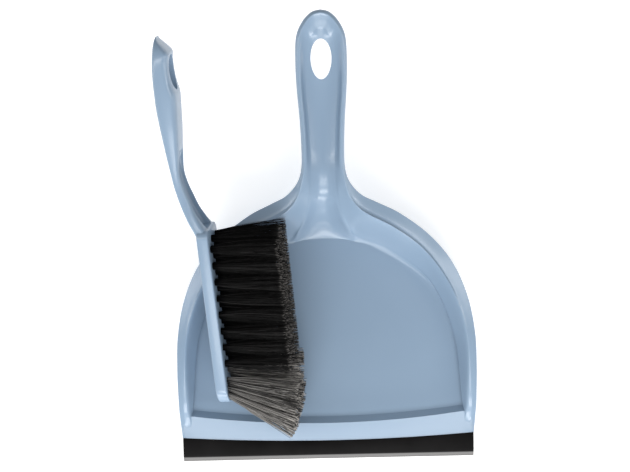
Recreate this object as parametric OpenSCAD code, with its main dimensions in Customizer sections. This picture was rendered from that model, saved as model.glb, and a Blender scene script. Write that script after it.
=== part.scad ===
// Dust pan with a rubber lip and a matching hand brush. The brush lies on its side in the pan:
// its toe bristles stand by the pan's floor and its side leans on the rim at the left shoulder.
// Millimetres, +Z up, +Y towards the pan's handle. The pan stands on its flat underside.

/* [Pan] */
// Width of the pan across its rim
pan_w = 222; // [216:1:228]
// Length from the lip's front edge to the end of the handle
pan_l = 327; // [321:1:333]
// Height of the rim at the back corners, as a share of the nominal height
rim_scale = 1; // [0.95:0.01:1.05]
// Thickness of the moulded plastic
wall = 2.2; // [1.8:0.1:2.6]
// Width of the hanging hole in the pan's handle
pan_hole_w = 15; // [13:0.5:16]
// Length of the hanging hole in the pan's handle
pan_hole_l = 28; // [24:1:29]

/* [Lip] */
// Depth of the lip at the middle, from its front edge to the plastic
lip_depth = 14; // [12:0.5:16]
// How much deeper the lip is at its two ends
lip_bow = 4; // [2:0.5:6]
// Height of the lip where it meets the plastic
lip_h = 3.4; // [3.2:0.1:4]
// Depth of the plastic tongue that the lip is pushed onto
tongue_depth = 6; // [4:0.5:8]

/* [Brush] */
// Length of the flat block that holds the bristles
block_l = 134; // [133:1:137]
// Width of the block
block_w = 33; // [31:1:33]
// Thickness of the block
block_t = 8.3; // [8.1:0.1:9.5]
// Length of the bristles outside the block
bristle_l = 51; // [45:1:53]
// Radius of each tuft's hole
hole_r = 2.4; // [2.2:0.1:2.6]
// Depth of each tuft's hole
hole_depth = 6.2; // [6.1:0.1:6.6]
// Width of the hanging hole in the brush's handle
brush_hole_w = 14; // [11:0.5:15]
// Length of the hanging hole in the brush's handle
brush_hole_l = 25; // [20:1:26]

/* [Brush in the pan] */
// Turn of the brush from the pan's centre line, in degrees
brush_yaw = 4.9; // [4.5:0.1:5.3]
// Rise of the brush towards its handle, in degrees
brush_pitch = 15.5; // [15.4:0.1:15.8]
// Lift of the bristle tips from level, in degrees
brush_tilt = 9.6; // [9.4:0.1:10.4]
// Place of the brush's toe, from the lip's front edge and the pan's centre line
brush_toe = [-70, 48.3, 21.5];

/* [Hidden] */
BLACK_COUNT = 32;
GREY_COUNT = 12;
black_names = ["tuft_a1", "tuft_a2", "tuft_a3", "tuft_a4", "tuft_a5", "tuft_a6", "tuft_a7", "tuft_a8",
               "tuft_b1", "tuft_b2", "tuft_b3", "tuft_b4", "tuft_b5", "tuft_b6", "tuft_b7", "tuft_b8",
               "tuft_c1", "tuft_c2", "tuft_c3", "tuft_c4", "tuft_c5", "tuft_c6", "tuft_c7", "tuft_c8",
               "tuft_d1", "tuft_d2", "tuft_d3", "tuft_d4", "tuft_d5", "tuft_d6", "tuft_d7", "tuft_d8"];
grey_names = ["toe_tuft_1", "toe_tuft_2", "toe_tuft_3", "toe_tuft_4", "toe_tuft_5", "toe_tuft_6",
              "toe_tuft_7", "toe_tuft_8", "toe_tuft_9", "toe_tuft_10", "toe_tuft_11", "toe_tuft_12"];

pan_blue = [0.66, 0.75, 0.86];
rubber_black = [0.10, 0.10, 0.10];
bristle_black = [0.07, 0.06, 0.06];
bristle_grey = [0.46, 0.43, 0.40];
anchor_steel = [0.72, 0.72, 0.70];

// The frame's origin is on the pan's centre line, this far behind the lip's front edge.
origin_y = 90;
nominal_w = 222;
nominal_l = 327;
steps_along = 3;
steps_across = 3;
steps_bow = 4;

// A smooth curve through four neighbouring points, for t from 0 to 1 between the middle two.
function between(a, b, c, d, t) =
    0.5 * (2 * b + (c - a) * t + (2 * a - 5 * b + 4 * c - d) * t * t + (3 * b - a - 3 * c + d) * t * t * t);
function at(list, i) = list[max(0, min(len(list) - 1, i))];
// The curve through a list at a place u, with a crisp corner at each item that is numbered in corners.
function on_curve(list, u, corners = []) =
    let(
        i = min(floor(u), len(list) - 2),
        before = search(i, corners) == [] ? i - 1 : i,
        after = search(i + 1, corners) == [] ? i + 2 : i + 1)
    between(at(list, before), at(list, i), at(list, i + 1), at(list, after), u - i);

// How far back the plastic's front edge is, at a share of the half width.
function joint_y(share) = lip_depth + lip_bow * share * share;

// One row of the pan's right half, from the edge of the rim to the centre line:
// [edge x, edge y, crest z, inward angle, crest in, inner edge in, foot in, foot z, floor in, floor z,
//  centre y, centre z]. y runs from the lip's front edge; "in" is the distance from the rim's edge.
pan_rows = [
    [109.3, joint_y(1), 3.1, 4, 3.5, 7.0, 7.9, 2.9, 9.5, 2.9, joint_y(0), 2.9],
    [110.2, 26.5, 4.7, 2, 3.5, 7.0, 7.9, 4.7, 9.8, 4.7, 20.8, 4.7],
    [110.7, 34.0, 8.4, -2, 3.5, 6.9, 8.2, 6.6, 10, 6.6, 27.5, 6.6],
    [110.9, 38.0, 10.6, -2, 3.5, 6.9, 9.5, 4.4, 12, 2.2, 32.2, 2.2],
    [111.0, 50.0, 15.0, 0, 3.5, 6.8, 10.6, 6.0, 13.8, 2.2, 48, 2.2],
    [111.0, 70.0, 19.8, 1, 3.6, 6.8, 12.2, 7.0, 16.5, 2.2, 70, 2.2],
    [109.8, 95.0, 23.4, 8, 4.3, 7.6, 14.5, 8.0, 20.0, 2.2, 92, 2.2],
    [104.4, 122, 25.8, 17, 6.5, 9.6, 17.5, 8.4, 23.0, 2.2, 118, 2.2],
    [93.5, 147, 28.2, 31, 8.6, 11.6, 20.0, 8.6, 26.5, 2.2, 140, 2.2],
    [77.0, 167, 31.0, 46, 8.8, 12.0, 22.5, 8.8, 29.0, 2.2, 155, 2.2],
    [55.8, 183, 35.8, 58, 9.2, 12.6, 24.0, 9.5, 30.5, 2.2, 162, 2.2],
    [38.1, 191.8, 39.9, 63, 9.0, 12.4, 26.0, 9.5, 32.0, 2.2, 166.4, 2.2],
    [28.5, 196.4, 43.0, 66, 7.4, 10.6, 23.0, 20.0, 27.0, 14.0, 177.0, 12.0],
    [21.8, 202.4, 46.6, 62, 5.0, 8.0, 17.6, 33.6, 21.4, 28.4, 187.0, 25.4],
    [17.4, 209.4, 50.5, 54, 2.6, 4.6, 10.8, 44.4, 14.4, 40.8, 197.6, 37.0],
    [15.3, 219, 53.2, 30, 1.8, 3.6, 6.2, 49.0, 9.2, 46.4, 212, 43.4],
    [15.1, 233, 56.9, 10, 1.6, 3.3, 5.0, 51.4, 7.8, 49.0, 231, 46.6],
    [15.9, 252, 61.2, 0, 1.5, 3.2, 5.0, 55.2, 8.0, 52.8, 252, 50.6],
    [17.3, 271, 65.6, 0, 1.5, 3.2, 5.0, 59.8, 8.2, 57.4, 271, 55.2],
    [18.0, 289, 69.8, 0, 1.6, 3.4, 5.4, 64.8, 8.8, 62.6, 289, 60.6],
    [17.2, 308, 73.8, 14, 1.8, 3.6, 6.4, 70.2, 9.8, 68.2, 304, 66.2],
    [12.8, 318.6, 76.0, 42, 2.0, 3.8, 6.8, 73.2, 10.6, 71.2, 310, 69.2],
    [6.4, 325.2, 77.3, 68, 2.0, 3.8, 6.8, 74.6, 11.2, 72.2, 313, 70.8],
    [0, 327, 77.6, 90, 2.0, 3.8, 6.8, 74.9, 11.4, 72.6, 314, 71.2],
];
// The two rows with crisp edges: the top and the foot of the step behind the lip.
step_rows = [2, 3];
// Where the rim is low its crest is flattened: none below the first height, in full above both.
low_crest = 2.6;
crest_growth = 6;
edge_drop = 1.6;
inner_drop = 0.9;

// How far the underside lies outwards from, and below, each of a row's six points.
under_out = [0, 0.4, 1.4, 2.0, 1.2, 0];
under_down = [1.6, wall, 2.0, 1.4, wall, wall];

function sized(p) = [
    p[0] * pan_w / nominal_w,
    p[1] * pan_l / nominal_l,
    p[2] <= wall ? p[2] : p[2] * rim_scale,
];
function inward(r, d) = [r[0] - d * cos(r[3]), r[1] - d * sin(r[3])];
function place(r, d, z) = let(p = inward(r, d)) sized([max(0, p[0]), p[1], z]);
function crest_share(r) = min(1, (r[2] - low_crest) / crest_growth);
function rim_edge_z(r) = r[2] - edge_drop * crest_share(r);
function top_row(r) = [
    place(r, 0, rim_edge_z(r)),
    place(r, r[4], r[2]),
    place(r, r[5], max(r[7], r[2] - inner_drop * crest_share(r))),
    place(r, r[6], r[7]),
    place(r, r[8], r[9]),
    sized([0, r[10], r[11]]),
];
function under_row(r) =
    let(t = top_row(r), out = [0, r[4], r[5], r[6], r[8], 0])
    [for (k = [0 : 5])
        let(p = k < 5 ? place(r, out[k] - under_out[k], 0) : t[5])
        [p[0], p[1], max(0, t[k][2] - under_down[k])]];

// One half of a row: a curve over the rim and down the wall, then an even bow to the centre line.
function bow(e, m, t) = [e[0] * t, m[1] + (e[1] - m[1]) * t * t, m[2] + (e[2] - m[2]) * t * t];
function half_row(control) = concat(
    [for (k = [0 : steps_across * 4 - 1]) on_curve(control, k / steps_across)],
    [for (k = [0 : steps_bow]) bow(control[4], control[5], 1 - k / steps_bow)]);
function both_sides(half) =
    concat([for (p = half) p], [for (k = [len(half) - 2 : -1 : 0]) [-half[k][0], half[k][1], half[k][2]]]);
function stretched(rows) =
    [for (i = [0 : steps_along * (len(rows) - 1)])
        [for (k = [0 : 5]) on_curve([for (r = rows) r[k]], i / steps_along, step_rows)]];
// A grid of both halves, kept no lower than a level so that flat stretches stay flat.
function grid_of(rows, lowest) =
    [for (r = stretched(rows)) [for (p = both_sides(half_row(r))) [p[0], p[1], max(lowest, p[2])]]];

// Faces of a closed skin between an upper and an under grid of the same size.
function skin_faces(n, m) = concat(
    [for (i = [0 : n - 2], j = [0 : m - 2]) [i * m + j, i * m + j + 1, (i + 1) * m + j + 1]],
    [for (i = [0 : n - 2], j = [0 : m - 2]) [i * m + j, (i + 1) * m + j + 1, (i + 1) * m + j]],
    [for (i = [0 : n - 2], j = [0 : m - 2]) let(o = n * m)
        [o + i * m + j, o + (i + 1) * m + j + 1, o + i * m + j + 1]],
    [for (i = [0 : n - 2], j = [0 : m - 2]) let(o = n * m)
        [o + i * m + j, o + (i + 1) * m + j, o + (i + 1) * m + j + 1]],
    [for (j = [0 : m - 2]) let(o = n * m) [j, o + j, o + j + 1]],
    [for (j = [0 : m - 2]) let(o = n * m) [j, o + j + 1, j + 1]],
    [for (i = [0 : n - 2]) let(o = n * m) [i * m, (i + 1) * m, o + (i + 1) * m]],
    [for (i = [0 : n - 2]) let(o = n * m) [i * m, o + (i + 1) * m, o + i * m]],
    [for (i = [0 : n - 2]) let(o = n * m, e = m - 1) [i * m + e, o + (i + 1) * m + e, (i + 1) * m + e]],
    [for (i = [0 : n - 2]) let(o = n * m, e = m - 1) [i * m + e, o + i * m + e, o + (i + 1) * m + e]]);

module pan_shell() {
    upper = grid_of([for (r = pan_rows) top_row(r)], wall);
    under = grid_of([for (r = pan_rows) under_row(r)], 0);
    n = len(upper);
    m = len(upper[0]);
    points = concat([for (r = upper) each r], [for (r = under) each r]);
    polyhedron(points, skin_faces(n, m));
}
joint_steps = 12;
front = 999;
tongue_w = 100;
tongue_low = 1.1;
tongue_high = 2.1;
tongue_root = 1.5;
fit_gap = 0.05;

// A strip that follows the joint: section points are [distance back from the joint, height],
// where the distance "front" stands for the lip's straight front edge.
module joint_strip(half_w, section) {
    n = 2 * joint_steps + 1;
    m = len(section);
    points = [for (i = [0 : n - 1], p = section)
        let(share = i / joint_steps - 1, x = share * half_w, back = joint_y(x / lip_half_w))
        [x, p[0] == front ? p[2] : back - p[0], p[1]]];
    faces = concat(
        [[for (k = [0 : m - 1]) k]],
        [[for (k = [m - 1 : -1 : 0]) (n - 1) * m + k]],
        [for (i = [0 : n - 2], k = [0 : m - 1]) [i * m + k, (i + 1) * m + (k + 1) % m, i * m + (k + 1) % m]],
        [for (i = [0 : n - 2], k = [0 : m - 1]) [i * m + k, (i + 1) * m + k, (i + 1) * m + (k + 1) % m]]);
    polyhedron(points, faces);
}
lip_half_w = 109.3 * pan_w / nominal_w;

module pan_tongue(gap = 0) {
    joint_strip(tongue_w + gap, [
        [-tongue_root, tongue_low - gap], [-tongue_root, tongue_high + gap],
        [tongue_depth + gap, tongue_high + gap], [tongue_depth + gap, tongue_low - gap],
    ]);
}

// An egg-shaped hole that widens towards its upper end, as a chain of discs.
module oval_hole(w, l, h) {
    for (k = [0 : 7])
        hull() {
            egg_disc(w, l, h, k / 8);
            egg_disc(w, l, h, (k + 1) / 8);
        }
}
module egg_disc(w, l, h, share) {
    y = (share - 0.5) * l;
    half = w / 2 * sqrt(max(0.02, 1 - pow(2 * share - 1, 2))) * (0.97 + 0.06 * share);
    translate([0, y, 0]) cube([2 * half, 0.01, h], center = true);
}

pan_hole_y = 294;
pan_hole_z = 62;
module pan_body() {
    color(pan_blue)
    translate([0, -origin_y, 0])
    union() {
        difference() {
            pan_shell();
            translate([0, pan_hole_y, pan_hole_z]) oval_hole(pan_hole_w, pan_hole_l, 40);
        }
        pan_tongue();
    }
}

module rubber_lip() {
    color(rubber_black)
    translate([0, -origin_y, 0])
    difference() {
        joint_strip(lip_half_w, [
            [0, 0], [0, lip_h - 0.3], [0.5, lip_h], [5.5, lip_h - 0.35],
            [front, 1.5, 3.6], [front, 0.9, 0.3], [front, 0.5, 0], [front, 0, 0.8],
        ]);
        pan_tongue(fit_gap);
    }
}

// The brush's own frame: x is the bristles' direction, y runs from the toe to the handle and z is
// the width, with the origin in the middle of the block's bristle face at the toe.
module in_the_pan() {
    translate([brush_toe[0], brush_toe[1] - origin_y, brush_toe[2]])
    rotate([0, 0, brush_yaw])
    rotate([brush_pitch, 0, 0])
    rotate([0, -brush_tilt, 0])
    children();
}

row_w = 3.3;
tuft_pitch = 12.4;
first_a = 32.4;
first_b = 38.6;
toe_rows = [
    // [distance from the toe, forward lean, places across the block]
    [25.8, 2, [row_w, -3 * row_w]],
    [19.4, 8, [3 * row_w, -row_w]],
    [13.8, 16, [10.2, 0, -10.2]],
    [8.5, 22, [10.7, -10.7]],
    [7.4, 27, [5.2, -5.2]],
    [3.8, 35, [0]],
];

// Every tuft as [distance from the toe, place across, forward lean, side lean].
function side_lean(w) = w * 0.8;
black_tufts = concat(
    [for (k = [0 : 7]) [first_a + tuft_pitch * k, 3 * row_w, 0, side_lean(3 * row_w)]],
    [for (k = [0 : 7]) [first_b + tuft_pitch * k, row_w, 0, side_lean(row_w)]],
    [for (k = [0 : 7]) [first_a + tuft_pitch * k, -row_w, 0, side_lean(-row_w)]],
    [for (k = [0 : 7]) [first_b + tuft_pitch * k, -3 * row_w, 0, side_lean(-3 * row_w)]]);
grey_tufts = [for (r = toe_rows, w = r[2]) [r[0], w, r[1], side_lean(w)]];

module rounded_block() {
    toe_r = 15;
    heel_r = 6;
    rotate([0, -90, 0])
    linear_extrude(block_t)
    union() {
        translate([-block_w / 2, toe_r]) square([block_w, block_l - toe_r - heel_r]);
        for (s = [-1, 1]) {
            translate([s * (block_w / 2 - toe_r), toe_r]) circle(toe_r, $fn = 64);
            translate([s * (block_w / 2 - heel_r), block_l - heel_r]) circle(heel_r, $fn = 48);
        }
        translate([-(block_w / 2 - toe_r), 0]) square([block_w - 2 * toe_r, toe_r]);
        translate([-(block_w / 2 - heel_r), block_l - heel_r]) square([block_w - 2 * heel_r, heel_r]);
    }
}

// The brush's handle as rows of [y, top x, under x, half width].
handle_rows = [
    [116, -8.0, -4.0, 15.0],
    [126, -8.4, -1.4, 15.2],
    [133, -11.2, -1.2, 14.2],
    [139, -14.2, -4.4, 12.8],
    [147, -17.2, -8.4, 11.2],
    [156, -19.8, -11.4, 10.2],
    [166, -21.8, -14.6, 9.8],
    [176, -22.9, -16.1, 10.2],
    [190, -24.4, -14.8, 11.4],
    [206, -25.8, -13.2, 12.6],
    [221, -26.9, -12.1, 13.2],
    [231, -27.0, -11.6, 13.4],
    [239, -26.8, -13.2, 13.4],
    [247, -26.4, -14.0, 13.2],
    [255, -25.7, -13.8, 12.6],
    [260.5, -24.9, -13.2, 11.6],
    [265, -24.1, -16.4, 9.8],
    [269.5, -22.9, -20.4, 6.4],
    [272, -21.9, -21.1, 3.2],
];
handle_sides = 20;
handle_steps = 2;
squareness = 0.48;
thinnest = 0.2;
// A rounded cross-section of the handle, square-shouldered enough to read as a moulding.
function handle_ring(r) =
    [for (k = [0 : handle_sides - 1])
        let(
            a = 360 * (k + 0.5) / handle_sides,
            cx = (r[1] + r[2]) / 2,
            hx = max(thinnest, (r[2] - r[1]) / 2),
            hz = max(thinnest, r[3]))
        [cx + hx * sign(sin(a)) * pow(abs(sin(a)), squareness), r[0],
         hz * sign(cos(a)) * pow(abs(cos(a)), squareness)]];
module tube_through(rings) {
    n = len(rings);
    m = len(rings[0]);
    points = [for (r = rings) each r];
    faces = concat(
        [[for (k = [0 : m - 1]) k]],
        [[for (k = [m - 1 : -1 : 0]) (n - 1) * m + k]],
        [for (i = [0 : n - 2], k = [0 : m - 1]) [i * m + k, (i + 1) * m + k, (i + 1) * m + (k + 1) % m]],
        [for (i = [0 : n - 2], k = [0 : m - 1]) [i * m + k, (i + 1) * m + (k + 1) % m, i * m + (k + 1) % m]]);
    polyhedron(points, faces);
}
module brush_handle() {
    tube_through([for (i = [0 : handle_steps * (len(handle_rows) - 1)])
        handle_ring(on_curve(handle_rows, i / handle_steps))]);
}
// The open channel under the handle's neck: rows of [y, roof x, open x, half width].
channel_rows = [
    [128, -6.4, 3, 5.2],
    [136, -9.6, 2, 8.0],
    [146, -13.8, -3, 8.2],
    [156, -16.8, -6, 7.6],
    [166, -18.8, -9, 7.2],
    [176, -19.9, -10, 7.2],
    [184, -19.8, -10, 6.4],
    [191, -17.6, -9, 4.8],
];
module handle_channel() {
    tube_through([for (i = [0 : 2 * (len(channel_rows) - 1)])
        handle_ring(on_curve(channel_rows, i / 2))]);
}
brush_hole_y = 246.5;
module brush_hole() {
    oval = [for (a = [0 : 15 : 345]) [sin(a) * brush_hole_w / 2, cos(a) * brush_hole_l / 2]];
    translate([-30, brush_hole_y, 0]) rotate([0, 90, 0]) linear_extrude(40) polygon(oval);
}
// Stands children on a tuft's axis: z runs out of the hole, from the middle of its mouth.
module on_tuft(t) {
    translate([0, t[0], t[1]])
    rotate([0, -t[3], 0])
    rotate([0, 0, -t[2]])
    rotate([0, 90, 0])
    children();
}
module brush_body() {
    color(pan_blue)
    in_the_pan()
    difference() {
        union() {
            rounded_block();
            difference() {
                brush_handle();
                handle_channel();
                brush_hole();
            }
        }
        for (t = concat(black_tufts, grey_tufts))
            on_tuft(t) translate([0, 0, -hole_depth]) cylinder(h = hole_depth + 3, r = hole_r, $fn = 24);
    }
}

anchor_l = 3.6;
anchor_t = 0.4;
anchor_h = 1.6;
module tuft_anchors() {
    color(anchor_steel)
    in_the_pan()
    for (t = concat(black_tufts, grey_tufts))
        on_tuft(t) translate([0, 0, anchor_h / 2 - hole_depth])
            cube([anchor_l, anchor_t, anchor_h], center = true);
}

root_r = 1.9;
tip_r = 5.2;
toe_tip_r = 4.4;
root_depth = 4.4;
module tuft(t, spread, shade) {
    color(shade)
    in_the_pan()
    on_tuft(t)
    translate([0, 0, -root_depth])
    cylinder(h = bristle_l + root_depth, r1 = root_r, r2 = spread, $fn = 24);
}

pan_body();
rubber_lip();
brush_body();
tuft_anchors();
for (k = [0 : BLACK_COUNT - 1])
    tuft(black_tufts[k], tip_r, bristle_black);
for (k = [0 : GREY_COUNT - 1])
    tuft(grey_tufts[k], toe_tip_r, bristle_grey);
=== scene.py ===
import bmesh
import bpy
import math
import random
from mathutils import Matrix, Vector


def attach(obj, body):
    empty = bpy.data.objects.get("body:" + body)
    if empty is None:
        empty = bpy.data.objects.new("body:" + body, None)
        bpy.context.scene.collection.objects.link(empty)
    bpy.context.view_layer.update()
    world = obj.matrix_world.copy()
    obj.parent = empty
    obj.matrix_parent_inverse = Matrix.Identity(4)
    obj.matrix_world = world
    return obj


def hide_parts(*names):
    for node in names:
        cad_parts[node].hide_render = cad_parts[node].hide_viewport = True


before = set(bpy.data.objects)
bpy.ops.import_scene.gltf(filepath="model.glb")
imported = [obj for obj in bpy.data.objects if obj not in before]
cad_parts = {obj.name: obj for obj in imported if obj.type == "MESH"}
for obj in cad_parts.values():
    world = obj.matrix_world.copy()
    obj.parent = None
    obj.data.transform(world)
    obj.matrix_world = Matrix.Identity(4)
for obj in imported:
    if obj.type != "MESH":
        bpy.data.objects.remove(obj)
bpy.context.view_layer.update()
mm = 0.001
print("frame loaded")


# curves and meshes

def between(a, b, c, d, t):  # smooth curve from b to c
    return 0.5 * (2 * b + (c - a) * t + (2 * a - 5 * b + 4 * c - d) * t * t
                  + (3 * b - a - 3 * c + d) * t * t * t)


def smoothList(items, steps, corners=()):  # items are Vectors or numbers, corners stay crisp
    last = len(items) - 1
    out = []
    for i in range(last):
        before = i if i in corners else max(0, i - 1)
        after = i + 1 if i + 1 in corners else min(last, i + 2)
        out += [between(items[before], items[i], items[i + 1], items[after], k / steps) for k in range(steps)]
    return out + [items[last]]


def meshPiece(name, verts, faces, smooth=True, weld=True):
    mesh = bpy.data.meshes.new(name)
    mesh.from_pydata([tuple(v) for v in verts], [], faces)
    shape = bmesh.new()
    shape.from_mesh(mesh)
    if weld:
        bmesh.ops.remove_doubles(shape, verts=shape.verts, dist=0.000005)
    bmesh.ops.recalc_face_normals(shape, faces=shape.faces)
    shape.to_mesh(mesh)
    shape.free()
    piece = bpy.data.objects.new(name, mesh)
    bpy.context.scene.collection.objects.link(piece)
    if smooth:
        mesh.polygons.foreach_set("use_smooth", [True] * len(mesh.polygons))
    return piece


def useModifiers(piece):
    bpy.context.view_layer.update()
    graph = bpy.context.evaluated_depsgraph_get()
    mesh = bpy.data.meshes.new_from_object(piece.evaluated_get(graph))
    piece.modifiers.clear()
    old = piece.data
    piece.data = mesh
    bpy.data.meshes.remove(old)


def cutWith(piece, tool):
    cut = piece.modifiers.new("cut", "BOOLEAN")
    cut.operation = "DIFFERENCE"
    cut.solver = "EXACT"
    cut.object = tool
    useModifiers(piece)
    bpy.data.objects.remove(tool)


def smoothByAngle(piece, degrees):
    bpy.context.view_layer.objects.active = piece
    piece.select_set(True)
    bpy.ops.object.shade_smooth_by_angle(angle=math.radians(degrees))
    piece.select_set(False)


# materials

def newMaterial(name):
    material = bpy.data.materials.new(name)
    material.use_nodes = True
    nodes = material.node_tree.nodes
    nodes.clear()
    shader = nodes.new("ShaderNodeBsdfPrincipled")
    output = nodes.new("ShaderNodeOutputMaterial")
    material.node_tree.links.new(shader.outputs["BSDF"], output.inputs["Surface"])
    return material, nodes, material.node_tree.links, shader


def noiseNode(nodes, links, coords, scale, detail=3, rough=0.5):
    noise = nodes.new("ShaderNodeTexNoise")
    noise.inputs["Scale"].default_value = scale
    noise.inputs["Detail"].default_value = detail
    noise.inputs["Roughness"].default_value = rough
    links.new(coords, noise.inputs["Vector"])
    return noise


def rangeNode(nodes, links, value, low, high):
    ranged = nodes.new("ShaderNodeMapRange")
    ranged.inputs["To Min"].default_value = low
    ranged.inputs["To Max"].default_value = high
    links.new(value, ranged.inputs["Value"])
    return ranged.outputs["Result"]


def addBump(nodes, links, shader, height, strength, distance):
    bump = nodes.new("ShaderNodeBump")
    bump.inputs["Strength"].default_value = strength
    bump.inputs["Distance"].default_value = distance
    links.new(height, bump.inputs["Height"])
    links.new(bump.outputs["Normal"], shader.inputs["Normal"])


def rampNode(nodes, links, value, stops):
    ramp = nodes.new("ShaderNodeValToRGB")
    while len(ramp.color_ramp.elements) < len(stops):
        ramp.color_ramp.elements.new(0.5)
    for element, (place, colour) in zip(ramp.color_ramp.elements, stops):
        element.position = place
        element.color = (*colour, 1)
    links.new(value, ramp.inputs["Fac"])
    return ramp.outputs["Color"]


def glossPlastic(name, look):
    material, nodes, links, shader = newMaterial(name)
    coords = nodes.new("ShaderNodeTexCoord").outputs["Object"]
    cloud = noiseNode(nodes, links, coords, look["cloudScale"], 4)
    tone = rampNode(nodes, links, cloud.outputs["Fac"], [(0.3, look["deep"]), (0.7, look["pale"])])
    links.new(tone, shader.inputs["Base Color"])
    smear = noiseNode(nodes, links, coords, look["smearScale"], 5, 0.6)
    links.new(rangeNode(nodes, links, smear.outputs["Fac"], *look["roughness"]), shader.inputs["Roughness"])
    grain = noiseNode(nodes, links, coords, look["grainScale"], 2)
    addBump(nodes, links, shader, grain.outputs["Fac"], look["grainStrength"], look["grainHeight"])
    shader.inputs["IOR"].default_value = look["bend"]
    return material


blueLook = {
    "deep": (0.245, 0.338, 0.452), "pale": (0.262, 0.358, 0.475), "cloudScale": 9.0,
    "roughness": (0.16, 0.23), "smearScale": 40.0,
    "grainScale": 1400.0, "grainStrength": 0.12, "grainHeight": 0.00004, "bend": 1.49,
}
panPlastic = glossPlastic("powderBluePan", blueLook)
brushPlastic = glossPlastic("powderBlueBrush", blueLook)


# pan

# Rows across the pan's right half, from the lip to the end of the handle, in mm behind the lip's
# front edge. Each row: rim edge (x, y), crest height, inward angle, distance in to the crest, the
# inner edge, the wall's foot and its height, the floor's edge and its height, centre (y, height).
pan = {
    "originY": 90, "wall": 2.2, "stepRows": (2, 3), "alongSteps": 8, "acrossSteps": 6, "bowSteps": 10,
    "edgeDrop": 1.6, "innerDrop": 0.9, "edgeRound": 0.35, "creaseAngle": 38,
    "lowCrest": 2.6, "crestGrowth": 6,  # a low rim is flatter
    "underOut": (0, 0.4, 1.4, 2.0, 1.2, 0), "underDown": (1.6, 2.2, 2.0, 1.4, 2.2, 2.2),
    "holeY": 294, "holeWidth": 15, "holeLength": 28, "holeFrom": 40, "holeTo": 90,
    "holeNarrow": 0.97, "holeWiden": 0.06,
    "rows": (
        (109.3, 18.0, 3.1, 4, 3.5, 7.0, 7.9, 2.9, 9.5, 2.9, 14.0, 2.9),
        (110.2, 26.5, 4.7, 2, 3.5, 7.0, 7.9, 4.7, 9.8, 4.7, 20.8, 4.7),
        (110.7, 34.0, 8.4, -2, 3.5, 6.9, 8.2, 6.6, 10, 6.6, 27.5, 6.6),
        (110.9, 38.0, 10.6, -2, 3.5, 6.9, 9.5, 4.4, 12, 2.2, 32.2, 2.2),
        (111.0, 50.0, 15.0, 0, 3.5, 6.8, 10.6, 6.0, 13.8, 2.2, 48, 2.2),
        (111.0, 70.0, 19.8, 1, 3.6, 6.8, 12.2, 7.0, 16.5, 2.2, 70, 2.2),
        (109.8, 95.0, 23.4, 8, 4.3, 7.6, 14.5, 8.0, 20.0, 2.2, 92, 2.2),
        (104.4, 122, 25.8, 17, 6.5, 9.6, 17.5, 8.4, 23.0, 2.2, 118, 2.2),
        (93.5, 147, 28.2, 31, 8.6, 11.6, 20.0, 8.6, 26.5, 2.2, 140, 2.2),
        (77.0, 167, 31.0, 46, 8.8, 12.0, 22.5, 8.8, 29.0, 2.2, 155, 2.2),
        (55.8, 183, 35.8, 58, 9.2, 12.6, 24.0, 9.5, 30.5, 2.2, 162, 2.2),
        (38.1, 191.8, 39.9, 63, 9.0, 12.4, 26.0, 9.5, 32.0, 2.2, 166.4, 2.2),
        (28.5, 196.4, 43.0, 66, 7.4, 10.6, 23.0, 20.0, 27.0, 14.0, 177.0, 12.0),
        (21.8, 202.4, 46.6, 62, 5.0, 8.0, 17.6, 33.6, 21.4, 28.4, 187.0, 25.4),
        (17.4, 209.4, 50.5, 54, 2.6, 4.6, 10.8, 44.4, 14.4, 40.8, 197.6, 37.0),
        (15.3, 219, 53.2, 30, 1.8, 3.6, 6.2, 49.0, 9.2, 46.4, 212, 43.4),
        (15.1, 233, 56.9, 10, 1.6, 3.3, 5.0, 51.4, 7.8, 49.0, 231, 46.6),
        (15.9, 252, 61.2, 0, 1.5, 3.2, 5.0, 55.2, 8.0, 52.8, 252, 50.6),
        (17.3, 271, 65.6, 0, 1.5, 3.2, 5.0, 59.8, 8.2, 57.4, 271, 55.2),
        (18.0, 289, 69.8, 0, 1.6, 3.4, 5.4, 64.8, 8.8, 62.6, 289, 60.6),
        (17.2, 308, 73.8, 14, 1.8, 3.6, 6.4, 70.2, 9.8, 68.2, 304, 66.2),
        (12.8, 318.6, 76.0, 42, 2.0, 3.8, 6.8, 73.2, 10.6, 71.2, 310, 69.2),
        (6.4, 325.2, 77.3, 68, 2.0, 3.8, 6.8, 74.6, 11.2, 72.2, 313, 70.8),
        (0, 327, 77.6, 90, 2.0, 3.8, 6.8, 74.9, 11.4, 72.6, 314, 71.2),
    ),
}


def panPoint(row, inwards, height):
    x = row[0] - inwards * math.cos(math.radians(row[3]))
    y = row[1] - inwards * math.sin(math.radians(row[3]))
    return Vector((max(0, x), y - pan["originY"], height))


def panTopRow(row):
    edgeX, edgeY, crest, angle, crestIn, innerIn, footIn, footZ, floorIn, floorZ, midY, midZ = row
    grown = min(1, (crest - pan["lowCrest"]) / pan["crestGrowth"])
    return [panPoint(row, 0, crest - pan["edgeDrop"] * grown),
            panPoint(row, crestIn, crest),
            panPoint(row, innerIn, max(footZ, crest - pan["innerDrop"] * grown)),
            panPoint(row, footIn, footZ),
            panPoint(row, floorIn, floorZ),
            Vector((0, midY - pan["originY"], midZ))]


def panUnderRow(row):
    top = panTopRow(row)
    inwards = (0, row[4], row[5], row[6], row[8])
    out = []
    for k in range(6):
        place = panPoint(row, inwards[k] - pan["underOut"][k], 0) if k < 5 else top[5].copy()
        place.z = max(0, top[k].z - pan["underDown"][k])
        out.append(place)
    return out


def halfRow(points):
    curve = smoothList(points, pan["acrossSteps"])[:4 * pan["acrossSteps"]]
    edge, middle = points[4], points[5]
    for k in range(pan["bowSteps"] + 1):
        t = 1 - k / pan["bowSteps"]
        curve.append(Vector((edge.x * t, middle.y + (edge.y - middle.y) * t * t,
                             middle.z + (edge.z - middle.z) * t * t)))
    return curve


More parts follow.
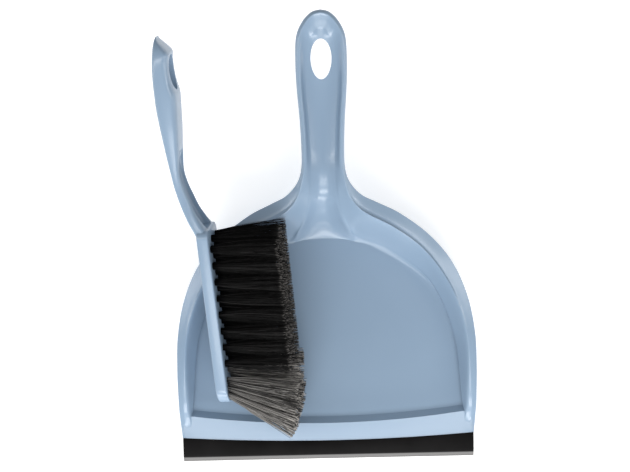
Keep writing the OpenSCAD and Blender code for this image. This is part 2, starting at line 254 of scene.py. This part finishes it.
def panGrid(makeRow, lowest):
    controls = [makeRow(row) for row in pan["rows"]]
    columns = [smoothList([row[k] for row in controls], pan["alongSteps"], pan["stepRows"])
               for k in range(6)]
    grid = []
    for i in range(len(columns[0])):
        half = halfRow([column[i] for column in columns])
        for point in half:
            point.z = max(lowest, point.z)
        grid.append(half + [Vector((-p.x, p.y, p.z)) for p in reversed(half[:-1])])
    return grid


def panBodyMesh():
    upper = panGrid(panTopRow, pan["wall"])
    under = panGrid(panUnderRow, 0)
    rows, width = len(upper), len(upper[0])
    loop = []  # closed loop of points round each row
    for top, low in zip(upper, under):
        ends = []
        for side in (0, -1):
            outward = top[side] - top[1 if side == 0 else -2]
            outward.z = 0
            ends.append((top[side] + low[side]) / 2 + outward.normalized() * pan["edgeRound"])
        loop.append(top + [ends[1]] + list(reversed(low)) + [ends[0]])
    around = len(loop[0])
    verts = [p * mm for ring in loop for p in ring]
    faces = [(i * around + j, i * around + (j + 1) % around,
              (i + 1) * around + (j + 1) % around, (i + 1) * around + j)
             for i in range(rows - 1) for j in range(around)]
    faces += [(j, 2 * width - j, 2 * width - 1 - j, j + 1) for j in range(width - 1)]
    faces += [(0, 2 * width + 1, 2 * width), (width - 1, width + 1, width)]
    return meshPiece("panBody", verts, faces)


panBody = panBodyMesh()
print("pan shell made", len(panBody.data.vertices))


def ovalRing(width, length, count):
    turns = [2 * math.pi * k / count for k in range(count)]
    return [(width / 2 * math.sin(a), length / 2 * math.cos(a)) for a in turns]


def holeTool(width, length, low, high, sides=48):  # an oval post with an egg's narrower lower end
    verts = []
    for z in (low, high):
        for x, y in ovalRing(width, length, sides):
            widen = pan["holeNarrow"] + pan["holeWiden"] * (y / length + 0.5)
            verts.append(Vector((x * widen, y, z)))
    faces = [(k, (k + 1) % sides, sides + (k + 1) % sides, sides + k) for k in range(sides)]
    faces += [tuple(range(sides - 1, -1, -1)), tuple(range(sides, 2 * sides))]
    return verts, faces


def cutPanHole():
    verts, faces = holeTool(pan["holeWidth"], pan["holeLength"], pan["holeFrom"], pan["holeTo"])
    shift = Vector((0, pan["holeY"] - pan["originY"], 0))
    tool = meshPiece("panHoleTool", [(v + shift) * mm for v in verts], faces)
    cutWith(panBody, tool)


cutPanHole()
smoothByAngle(panBody, pan["creaseAngle"])
panBody.data.materials.clear()
panBody.data.materials.append(panPlastic)
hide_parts("pan_body")
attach(panBody, "pan")


# lip

lip = {
    "halfWidth": 109.3, "depth": 14, "bow": 4, "steps": 48, "creaseAngle": 40,
    # distance back from the joint and height, then front points (distance from the front edge, height)
    "back": ((0, 0), (0, 2.9), (0.35, 3.4), (1.2, 3.42), (3.4, 3.3), (6.2, 3.0)),
    "front": ((5.2, 2.35), (3.9, 2.0), (3.4, 1.75), (1.6, 0.75), (0.6, 0.35), (0, 0.15), (0.15, 0)),
}


def lipMesh():
    verts, faces = [], []
    count = len(lip["back"]) + len(lip["front"])
    for i in range(lip["steps"] + 1):
        share = 2 * i / lip["steps"] - 1
        joint = lip["depth"] + lip["bow"] * share * share
        x = share * lip["halfWidth"]
        section = [(joint - d, z) for d, z in lip["back"]] + list(lip["front"])
        verts += [Vector((x, y - pan["originY"], z)) * mm for y, z in section]
    for i in range(lip["steps"]):
        for k in range(count):
            faces.append((i * count + k, i * count + (k + 1) % count,
                          (i + 1) * count + (k + 1) % count, (i + 1) * count + k))
    faces.append(tuple(range(count - 1, -1, -1)))
    faces.append(tuple(range(lip["steps"] * count, (lip["steps"] + 1) * count)))
    return meshPiece("rubberLip", verts, faces)


rubberLip = lipMesh()
smoothByAngle(rubberLip, lip["creaseAngle"])


rubberLook = {
    "deep": (0.003, 0.0028, 0.0029), "pale": (0.0085, 0.008, 0.0082), "cloudScale": 30,
    "roughness": (0.34, 0.46), "sheen": 0.05,
    # the front edge carries a painted highlight, light grey, fading in between these two distances along y,
    # in metres
    "paintedHighlight": (0.20, 0.197, 0.195), "paintedHighlightFrom": -0.0866, "paintedHighlightTo": -0.0874,
    "lineScale": (60, 900, 900), "lineStrength": 0.15, "lineHeight": 0.00005,
}


def rubberMaterial():
    look = rubberLook
    material, nodes, links, shader = newMaterial("lipRubber")
    coords = nodes.new("ShaderNodeTexCoord").outputs["Object"]
    cloud = noiseNode(nodes, links, coords, look["cloudScale"], 4)
    tone = rampNode(nodes, links, cloud.outputs["Fac"], [(0.3, look["deep"]), (0.75, look["pale"])])
    # painted highlight: the lip's front edge is mixed to light grey
    place = nodes.new("ShaderNodeSeparateXYZ")
    links.new(coords, place.inputs["Vector"])
    paintedHighlight = nodes.new("ShaderNodeMapRange")
    paintedHighlight.inputs["From Min"].default_value = look["paintedHighlightFrom"]
    paintedHighlight.inputs["From Max"].default_value = look["paintedHighlightTo"]
    links.new(place.outputs["Y"], paintedHighlight.inputs["Value"])
    mix = nodes.new("ShaderNodeMix")
    mix.data_type = "RGBA"
    mix.inputs["B"].default_value = (*look["paintedHighlight"], 1)
    links.new(paintedHighlight.outputs["Result"], mix.inputs["Factor"])
    links.new(tone, mix.inputs["A"])
    links.new(mix.outputs["Result"], shader.inputs["Base Color"])
    links.new(rangeNode(nodes, links, cloud.outputs["Fac"], *look["roughness"]), shader.inputs["Roughness"])
    shader.inputs["Specular IOR Level"].default_value = look["sheen"]
    stretch = nodes.new("ShaderNodeMapping")
    stretch.inputs["Scale"].default_value = look["lineScale"]
    links.new(coords, stretch.inputs["Vector"])
    lines = noiseNode(nodes, links, stretch.outputs["Vector"], 1.0, 2)
    addBump(nodes, links, shader, lines.outputs["Fac"], look["lineStrength"], look["lineHeight"])
    return material


rubberLip.data.materials.append(rubberMaterial())
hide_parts("rubber_lip")
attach(rubberLip, "pan")
print("lip made")


# brush

brush = {
    "rootDepth": 4.4, "ringDepth": 0.6, "axisRounds": 6, "firstA": 32.4, "rowSide": 9.9,
    "length": 134, "width": 33, "thick": 8.3, "toeRadius": 15, "heelRadius": 6, "edge": 1.2,
    "bevelSegments": 4, "bevelAngle": 50, "creaseAngle": 35, "cornerSteps": 12,
    "holeRadius": 2.4, "holeDepth": 6.2, "holeClear": 3, "holeSides": 20,
    "hangY": 246.5, "hangWidth": 14, "hangLength": 25, "hangFrom": -30, "hangTo": 10,
    # handle rows: distance from the toe, top, underside, half width
    "handle": (
        (116, -8.0, -4.0, 15.0), (126, -8.4, -1.4, 15.2), (133, -11.2, -1.2, 14.2),
        (139, -14.2, -4.4, 12.8), (147, -17.2, -8.4, 11.2), (156, -19.8, -11.4, 10.2),
        (166, -21.8, -14.6, 9.8), (176, -22.9, -16.1, 10.2), (190, -24.4, -14.8, 11.4),
        (206, -25.8, -13.2, 12.6), (221, -26.9, -12.1, 13.2), (231, -27.0, -11.6, 13.4),
        (239, -26.8, -13.2, 13.4), (247, -26.4, -14.0, 13.2), (255, -25.7, -13.8, 12.6),
        (260.5, -24.9, -13.2, 11.6), (265, -24.1, -16.4, 9.8), (269.5, -22.9, -20.4, 6.4),
        (272, -21.9, -21.1, 3.2)),
    "handleSteps": 8, "handleSides": 48, "squareness": 0.48, "thinnest": 0.2, "channelSteps": 6,
    # channel rows: distance from the toe, roof, open side, half width
    "channel": (
        (128, -6.4, 3, 5.2), (136, -9.6, 2, 8.0), (146, -13.8, -3, 8.2),
        (156, -16.8, -6, 7.6), (166, -18.8, -9, 7.2), (176, -19.9, -10, 7.2),
        (184, -19.8, -10, 6.4), (191, -17.6, -9, 4.8)),
}


def discCentre(points, axis):  # middle and radius of a ring of points
    side = axis.orthogonal().normalized()
    centre = sum(points, Vector()) / len(points)
    for direction in (side, axis.cross(side)):
        reach = [(p - centre).dot(direction) for p in points]
        centre = centre + direction * (max(reach) + min(reach)) / 2
    return centre, max((p - centre).length for p in points)


def tuftEnds(name):  # root, tip and their radii of a CAD tuft
    points = [v.co.copy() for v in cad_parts[name].data.vertices]
    axis = Vector((1, 0, 0))
    for attempt in range(brush["axisRounds"]):
        reach = [p.dot(axis) for p in points]
        first = [p for p, r in zip(points, reach) if r < min(reach) + brush["ringDepth"] * mm]
        second = [p for p, r in zip(points, reach) if r > max(reach) - brush["ringDepth"] * mm]
        (root, rootR), (tip, tipR) = discCentre(first, axis), discCentre(second, axis)
        axis = (tip - root).normalized()
    return (root, tip, rootR, tipR) if rootR < tipR else (tip, root, tipR, rootR)


blackNames = ["tuft_%s%d" % (row, k) for row in "abcd" for k in range(1, 9)]
greyNames = ["toe_tuft_%d" % k for k in range(1, 13)]
tufts = {name: tuftEnds(name) for name in blackNames + greyNames}


def mouthOf(name):  # middle of a tuft's hole at the block's face
    root, tip, rootR, tipR = tufts[name]
    return root + (tip - root).normalized() * brush["rootDepth"] * mm


def brushMatrix():  # x is the bristles' direction, y runs to the handle, z is the width
    a1, a8, c1 = mouthOf("tuft_a1"), mouthOf("tuft_a8"), mouthOf("tuft_c1")
    along = (a8 - a1).normalized()
    across = (a1 - c1).normalized()
    out = along.cross(across).normalized()
    origin = a1 - along * brush["firstA"] * mm - across * brush["rowSide"] * mm
    turn = Matrix((out, along, across)).transposed().to_4x4()
    return Matrix.Translation(origin) @ turn


brushPlace = brushMatrix()
print("brush frame", [round(v, 4) for v in brushPlace.translation])


def squared(value):  # pushes a sine or cosine out towards a rounded square
    return math.copysign(abs(value) ** brush["squareness"], value)


def handleRing(row):
    y, top, low, half = row
    middle = (top + low) / 2
    depth, wide = max(brush["thinnest"], (low - top) / 2), max(brush["thinnest"], half)
    ring = []
    for k in range(brush["handleSides"]):
        a = 2 * math.pi * (k + 0.5) / brush["handleSides"]
        ring.append(Vector((middle + depth * squared(math.sin(a)), y, wide * squared(math.cos(a)))))
    return ring


def tubeFaces(rings, sides):
    faces = [(i * sides + k, (i + 1) * sides + k,
              (i + 1) * sides + (k + 1) % sides, i * sides + (k + 1) % sides)
             for i in range(rings - 1) for k in range(sides)]
    return faces + [tuple(range(sides)), tuple(range(rings * sides - 1, (rings - 1) * sides - 1, -1))]


def tubePiece(name, rows, steps):
    curve = smoothList([Vector(row[:3]) for row in rows], steps)
    widths = smoothList([row[3] for row in rows], steps)
    verts = []
    for place, half in zip(curve, widths):
        verts += handleRing((place.x, place.y, place.z, half))
    faces = tubeFaces(len(curve), brush["handleSides"])
    return meshPiece(name, [brushPlace @ (v * mm) for v in verts], faces)


def blockPiece():
    half, length = brush["width"] / 2, brush["length"]
    toe, heel = brush["toeRadius"], brush["heelRadius"]
    corners = ((toe, half - toe, toe, 0), (length - heel, half - heel, heel, 90),
               (length - heel, heel - half, heel, 180), (toe, toe - half, toe, 270))
    outline = []
    for centreY, centreZ, radius, start in corners:
        for k in range(brush["cornerSteps"] + 1):
            a = math.radians(start + k * 90 / brush["cornerSteps"])
            outline.append((centreY - radius * math.cos(a), centreZ + radius * math.sin(a)))
    verts = [Vector((x, y, z)) for x in (-brush["thick"], 0) for y, z in outline]
    n = len(outline)
    faces = [(k, (k + 1) % n, n + (k + 1) % n, n + k) for k in range(n)]
    faces += [tuple(range(n - 1, -1, -1)), tuple(range(n, 2 * n))]
    block = meshPiece("brushBody", [brushPlace @ (v * mm) for v in verts], faces)
    bevel = block.modifiers.new("edges", "BEVEL")
    bevel.width = brush["edge"] * mm
    bevel.segments = brush["bevelSegments"]
    bevel.limit_method = "ANGLE"
    bevel.angle_limit = math.radians(brush["bevelAngle"])
    useModifiers(block)
    return block


def joinWith(piece, other):
    join = piece.modifiers.new("join", "BOOLEAN")
    join.operation = "UNION"
    join.solver = "EXACT"
    join.object = other
    useModifiers(piece)
    bpy.data.objects.remove(other)


def holesTool():
    verts, faces, sides = [], [], brush["holeSides"]
    for name in blackNames + greyNames:
        root, tip, rootR, tipR = tufts[name]
        axis = (tip - root).normalized()
        side = axis.orthogonal().normalized()
        other = axis.cross(side)
        base = len(verts)
        for depth in (-brush["holeDepth"], brush["holeClear"]):
            middle = mouthOf(name) + axis * depth * mm
            for k in range(sides):
                a = 2 * math.pi * k / sides
                verts.append(middle + (side * math.cos(a) + other * math.sin(a)) * brush["holeRadius"] * mm)
        faces += [(base + k, base + (k + 1) % sides, base + sides + (k + 1) % sides, base + sides + k)
                  for k in range(sides)]
        faces += [tuple(range(base + sides - 1, base - 1, -1)),
                  tuple(range(base + sides, base + 2 * sides))]
    return meshPiece("holesTool", verts, faces)


def brushHangTool():
    verts, faces = holeTool(brush["hangWidth"], brush["hangLength"], brush["hangFrom"], brush["hangTo"])
    turned = [Vector((v.z, v.y + brush["hangY"], v.x)) for v in verts]
    flipped = [tuple(reversed(face)) for face in faces]
    return meshPiece("hangTool", [brushPlace @ (v * mm) for v in turned], flipped)


brushHandle = tubePiece("brushHandle", brush["handle"], brush["handleSteps"])
cutWith(brushHandle, tubePiece("channelTool", brush["channel"], brush["channelSteps"]))
cutWith(brushHandle, brushHangTool())
brushBody = blockPiece()
joinWith(brushBody, brushHandle)
cutWith(brushBody, holesTool())
smoothByAngle(brushBody, brush["creaseAngle"])
brushBody.data.materials.clear()
brushBody.data.materials.append(brushPlastic)
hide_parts("brush_body")
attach(brushBody, "brush")
print("brush body made", len(brushBody.data.vertices))


# bristles

bristles = {
    # black tufts: the lighter strands are painted highlights on near-black filament; the light tip band is
    # partly the flagged ends and partly painted highlight
    "black": {
        "count": 150, "radius": 0.17, "spread": 1.22, "wave": 0.8, "frizz": 1.6, "longer": 0.6,
        "dark": (0.0006, 0.0006, 0.0006), "light": (0.030, 0.029, 0.029), "lightFrom": 0.75,
        "tipDark": (0.0012, 0.0012, 0.0012), "tipLight": (0.30, 0.285, 0.27), "tipStart": 0.965,
        "sheen": 0.14,
    },
    # grey toe tufts: the strand tones are the filament's own taupe; the pale tip band is partly the
    # filaments' own pale ends and partly painted highlight
    "grey": {
        "count": 130, "radius": 0.24, "spread": 1.35, "wave": 1.1, "frizz": 2.0, "longer": 3.2,
        "dark": (0.010, 0.0097, 0.0095), "light": (0.40, 0.385, 0.365), "lightFrom": 0.2,
        "tipDark": (0.008, 0.0078, 0.0075), "tipLight": (0.60, 0.57, 0.53), "tipStart": 0.86,
        "sheen": 0.3,
    },
    "joints": 5, "sides": 3, "taper": 0.35, "frizzShare": 0.6, "belly": 0.5, "uneven": 0.8,
    "fineScale": 900, "roughness": (0.38, 0.6), "bumpStrength": 0.2, "bumpHeight": 0.00003,
}


def filament(verts, faces, tones, points, radius, shade):
    sides, base = bristles["sides"], len(verts)
    axis = (points[-1] - points[0]).normalized()
    side = axis.orthogonal().normalized()
    other = axis.cross(side)
    last = len(points) - 1
    for i, point in enumerate(points):
        r = radius * (1 - bristles["taper"] * i / last)
        for k in range(sides):
            a = 2 * math.pi * k / sides
            verts.append(point + (side * math.cos(a) + other * math.sin(a)) * r)
            tones.append((shade, i / last))
    for i in range(last):
        for k in range(sides):
            faces.append((base + i * sides + k, base + i * sides + (k + 1) % sides,
                          base + (i + 1) * sides + (k + 1) % sides, base + (i + 1) * sides + k))
    faces.append(tuple(base + k for k in range(sides - 1, -1, -1)))
    faces.append(tuple(base + last * sides + k for k in range(sides)))


def tuftPiece(name, kind, seed):
    look, rand = bristles[kind], random.Random(seed)
    root, tip, rootR, tipR = tufts[name]
    axis = (tip - root).normalized()
    side = axis.orthogonal().normalized()
    other = axis.cross(side)
    verts, faces, tones = [], [], []
    for n in range(look["count"]):
        angle, share = rand.uniform(0, 2 * math.pi), math.sqrt(rand.random())
        direction = side * math.cos(angle) + other * math.sin(angle)
        drift = side * rand.gauss(0, 1) + other * rand.gauss(0, 1)
        start = root + direction * share * (rootR - look["radius"] * mm)
        end = tip + direction * share * tipR * look["spread"]
        end += drift * look["frizz"] * mm * bristles["frizzShare"]
        end += axis * (look["longer"] - abs(rand.gauss(0, bristles["uneven"]))) * mm
        bend = (side * rand.gauss(0, 1) + other * rand.gauss(0, 1)) * look["wave"] * mm
        points = []
        for i in range(bristles["joints"] + 1):
            t = i / bristles["joints"]
            belly = math.sin(math.pi * t)
            swell = direction * share * belly * bristles["belly"] * mm
            points.append(start.lerp(end, t) + swell + bend * belly)
        filament(verts, faces, tones, points, look["radius"] * mm, rand.random())
    piece = meshPiece("bristles_" + name, verts, faces, weld=False)
    layer = piece.data.color_attributes.new("strand", "FLOAT_COLOR", "POINT")
    for i, (shade, along) in enumerate(tones):
        layer.data[i].color = (shade, along, 0, 1)
    return piece


def bristleMaterial(name, look):
    material, nodes, links, shader = newMaterial(name)
    shader.inputs["Specular IOR Level"].default_value = look["sheen"]
    # red is each strand's random shade (its light end is a painted highlight in the black tufts), green runs
    # from root to tip
    strand = nodes.new("ShaderNodeVertexColor")
    strand.layer_name = "strand"
    parts = nodes.new("ShaderNodeSeparateColor")
    links.new(strand.outputs["Color"], parts.inputs["Color"])
    shade = parts.outputs["Red"]
    body = rampNode(nodes, links, shade,
                    [(0.0, look["dark"]), (look["lightFrom"], look["dark"]), (1.0, look["light"])])
    tips = rampNode(nodes, links, shade,
                    [(0.0, look["tipDark"]), (0.5, look["tipDark"]), (1.0, look["tipLight"])])
    along = nodes.new("ShaderNodeMapRange")
    along.inputs["From Min"].default_value = look["tipStart"]
    along.inputs["From Max"].default_value = 1.0
    links.new(parts.outputs["Green"], along.inputs["Value"])
    mix = nodes.new("ShaderNodeMix")
    mix.data_type = "RGBA"
    links.new(along.outputs["Result"], mix.inputs["Factor"])
    links.new(body, mix.inputs["A"])
    links.new(tips, mix.inputs["B"])
    links.new(mix.outputs["Result"], shader.inputs["Base Color"])
    coords = nodes.new("ShaderNodeTexCoord").outputs["Object"]
    fine = noiseNode(nodes, links, coords, bristles["fineScale"], 2)
    rough = rangeNode(nodes, links, fine.outputs["Fac"], *bristles["roughness"])
    links.new(rough, shader.inputs["Roughness"])
    addBump(nodes, links, shader, fine.outputs["Fac"], bristles["bumpStrength"], bristles["bumpHeight"])
    return material


blackBristle = bristleMaterial("blackBristle", bristles["black"])
greyBristle = bristleMaterial("taupeBristle", bristles["grey"])
for number, name in enumerate(blackNames + greyNames):
    kind = "black" if name in blackNames else "grey"
    piece = tuftPiece(name, kind, 100 + number)
    piece.data.materials.append(blackBristle if kind == "black" else greyBristle)
    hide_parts(name)
    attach(piece, "brush")
print("bristles made")


# anchors keep their CAD shape

steelLook = {
    "deep": (0.42, 0.42, 0.41), "pale": (0.6, 0.6, 0.58), "grainScale": 600,
    "roughness": (0.3, 0.45), "bumpStrength": 0.1, "bumpHeight": 0.00002,
}


def steelMaterial():
    look = steelLook
    material, nodes, links, shader = newMaterial("anchorSteel")
    coords = nodes.new("ShaderNodeTexCoord").outputs["Object"]
    fine = noiseNode(nodes, links, coords, look["grainScale"], 3)
    tone = rampNode(nodes, links, fine.outputs["Fac"], [(0.3, look["deep"]), (0.7, look["pale"])])
    links.new(tone, shader.inputs["Base Color"])
    links.new(rangeNode(nodes, links, fine.outputs["Fac"], *look["roughness"]), shader.inputs["Roughness"])
    shader.inputs["Metallic"].default_value = 1.0
    addBump(nodes, links, shader, fine.outputs["Fac"], look["bumpStrength"], look["bumpHeight"])
    return material


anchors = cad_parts["tuft_anchors"]
anchors.data.materials.clear()
anchors.data.materials.append(steelMaterial())


# floor, light and camera

def floorMaterial(name, colour, roughness, glow):  # it glows a little, like a light table
    material, nodes, links, shader = newMaterial(name)
    shader.inputs["Emission Color"].default_value = (1, 1, 1, 1)
    shader.inputs["Emission Strength"].default_value = glow
    shader.inputs["Base Color"].default_value = (*colour, 1)
    shader.inputs["Roughness"].default_value = roughness
    return material


ground = {"reach": 3, "below": 0.0002, "colour": (0.88, 0.88, 0.88), "roughness": 0.9, "glow": 0.5}
corners = [(x * ground["reach"], y * ground["reach"], 0) for x, y in ((-1, -1), (1, -1), (1, 1), (-1, 1))]
floor = meshPiece("floor", corners, [(0, 1, 2, 3)], False)
floor.location.z = -ground["below"]
floor.data.materials.append(floorMaterial("paleFloor", ground["colour"], ground["roughness"], ground["glow"]))


def softLight(name, place, aim, width, height, power):
    data = bpy.data.lights.new(name, "AREA")
    data.shape = "RECTANGLE"
    data.size, data.size_y = width, height
    data.energy = power
    lamp = bpy.data.objects.new(name, data)
    lamp.location = place
    lamp.rotation_euler = (Vector(aim) - Vector(place)).to_track_quat("-Z", "Y").to_euler()
    bpy.context.scene.collection.objects.link(lamp)


studio = {
    "middle": (0, 0.06, 0.02), "air": (1.0, 1.0, 1.0), "airStrength": 0.2,
    # place, width, depth and power of each soft box
    "lamps": {
        "frontKey": ((0, -1.25, 0.85), 1.3, 0.30, 11.5),
        "frontBox": ((0, -0.80, 1.20), 1.3, 0.36, 7),
        "lowBox": ((0, -1.35, 0.22), 1.4, 0.28, 9),
        "leftStrip": ((-0.70, 0.05, 1.02), 0.14, 1.1, 3.4),
        "rightStrip": ((0.70, 0.05, 1.02), 0.14, 1.1, 3.4),
        "leftLow": ((-1.35, 0.05, 0.28), 0.30, 1.4, 3),
        "rightLow": ((1.35, 0.05, 0.28), 0.30, 1.4, 3),
    },
}
for name, (place, width, height, power) in studio["lamps"].items():
    softLight(name, place, studio["middle"], width, height, power)

world = bpy.data.worlds.new("studioAir")
world.use_nodes = True
world.node_tree.nodes["Background"].inputs["Color"].default_value = (*studio["air"], 1)
world.node_tree.nodes["Background"].inputs["Strength"].default_value = studio["airStrength"]
bpy.context.scene.world = world

# the camera looks straight down; frameWidth is how wide the picture is at the floor, in mm
view = {"nadir": (-6.9, 168), "height": 1100, "frameWidth": 475.65, "roll": 1.2, "sensor": 36}
cameraData = bpy.data.cameras.new("camera")
cameraData.sensor_width = view["sensor"]
cameraData.lens = view["sensor"] * view["height"] / view["frameWidth"]
camera = bpy.data.objects.new("camera", cameraData)
camera.location = Vector((view["nadir"][0], view["nadir"][1] - pan["originY"], view["height"])) * mm
camera.rotation_euler = (0, 0, math.radians(-view["roll"]))
bpy.context.scene.collection.objects.link(camera)
bpy.context.scene.camera = camera
bpy.context.scene.view_settings.view_transform = "Standard"
